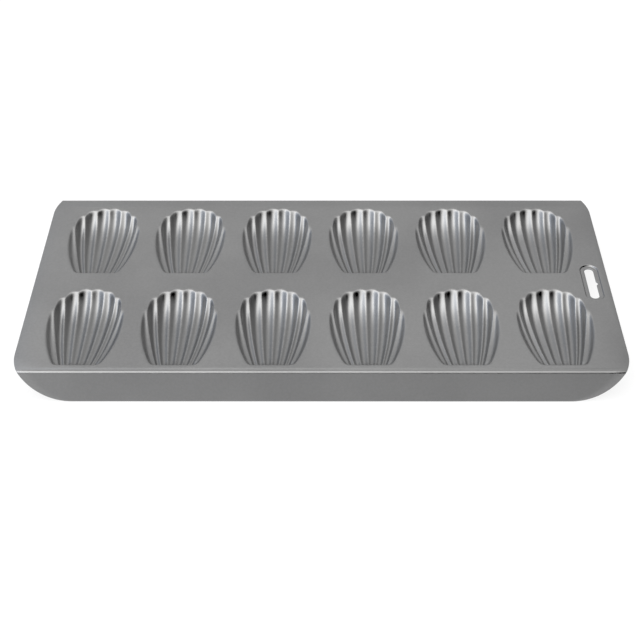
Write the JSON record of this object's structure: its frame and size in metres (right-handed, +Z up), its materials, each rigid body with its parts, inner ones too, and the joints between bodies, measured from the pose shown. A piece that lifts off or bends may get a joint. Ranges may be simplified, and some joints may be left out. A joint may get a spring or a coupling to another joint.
{
  "type": "madeleine pan",
  "caption": "Pressed sheet steel baking pan with rows of scalloped shell moulds in a flat web, folded leaning long sides and a hang slot in one end.",
  "frame": {"origin": "on the surface that the two long skirts stand on, under the middle of the pan", "axes": "+X along the pan towards the end with the hang slot, +Y towards the scalloped wide ends of the shells, +Z up out of the moulds' mouths"},
  "size_m": [0.395, 0.2048, 0.0199],
  "materials": {
    "nonstick_steel": "satin"
  },
  "bodies": {
    "root": {"web": "nonstick_steel", "front_skirt": "nonstick_steel", "rear_skirt": "nonstick_steel", "hang_slot_recess": "nonstick_steel", "shell_mould_front_1": "nonstick_steel", "shell_mould_front_2": "nonstick_steel", "shell_mould_front_3": "nonstick_steel", "shell_mould_front_4": "nonstick_steel", "shell_mould_front_5": "nonstick_steel", "shell_mould_front_6": "nonstick_steel", "shell_mould_rear_1": "nonstick_steel", "shell_mould_rear_2": "nonstick_steel", "shell_mould_rear_3": "nonstick_steel", "shell_mould_rear_4": "nonstick_steel", "shell_mould_rear_5": "nonstick_steel", "shell_mould_rear_6": "nonstick_steel"}
  },
  "joints": []
}
